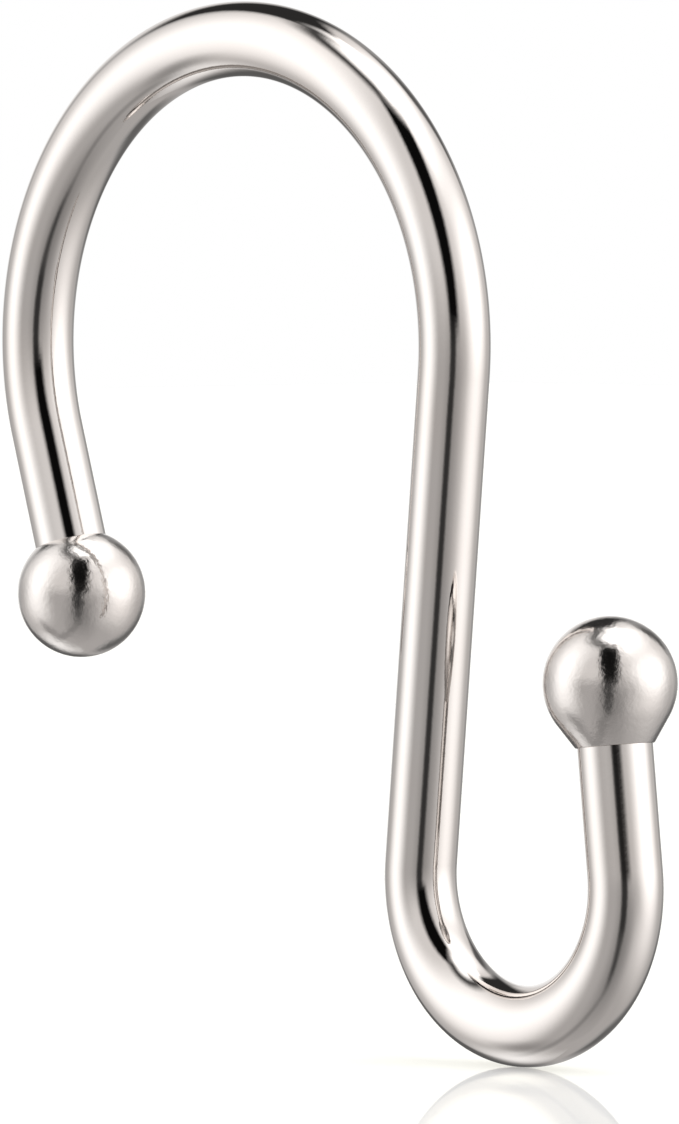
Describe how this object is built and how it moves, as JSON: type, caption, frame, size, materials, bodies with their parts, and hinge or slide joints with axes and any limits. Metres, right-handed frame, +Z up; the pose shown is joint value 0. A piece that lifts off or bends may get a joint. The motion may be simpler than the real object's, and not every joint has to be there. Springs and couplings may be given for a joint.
{
  "type": "curtain hook",
  "caption": "S-shaped hook of polished round bar with ball ends: the large open loop hangs over a curtain rod and the small one carries the curtain.",
  "frame": {"origin": "underside of the crown of the large loop, where it rests on the rod, on the hook's middle plane", "axes": "+Z up as the hook hangs, +X from the mouth of the large loop towards the small loop, +Y through the hook's flat side and along the rod"},
  "size_m": [0.0567, 0.008, 0.0639],
  "materials": {
    "polished_nickel": "polished nickel plate"
  },
  "bodies": {
    "root": {"hook_bar": "polished_nickel", "rod_end_ball": "polished_nickel", "curtain_end_ball": "polished_nickel"}
  },
  "joints": []
}
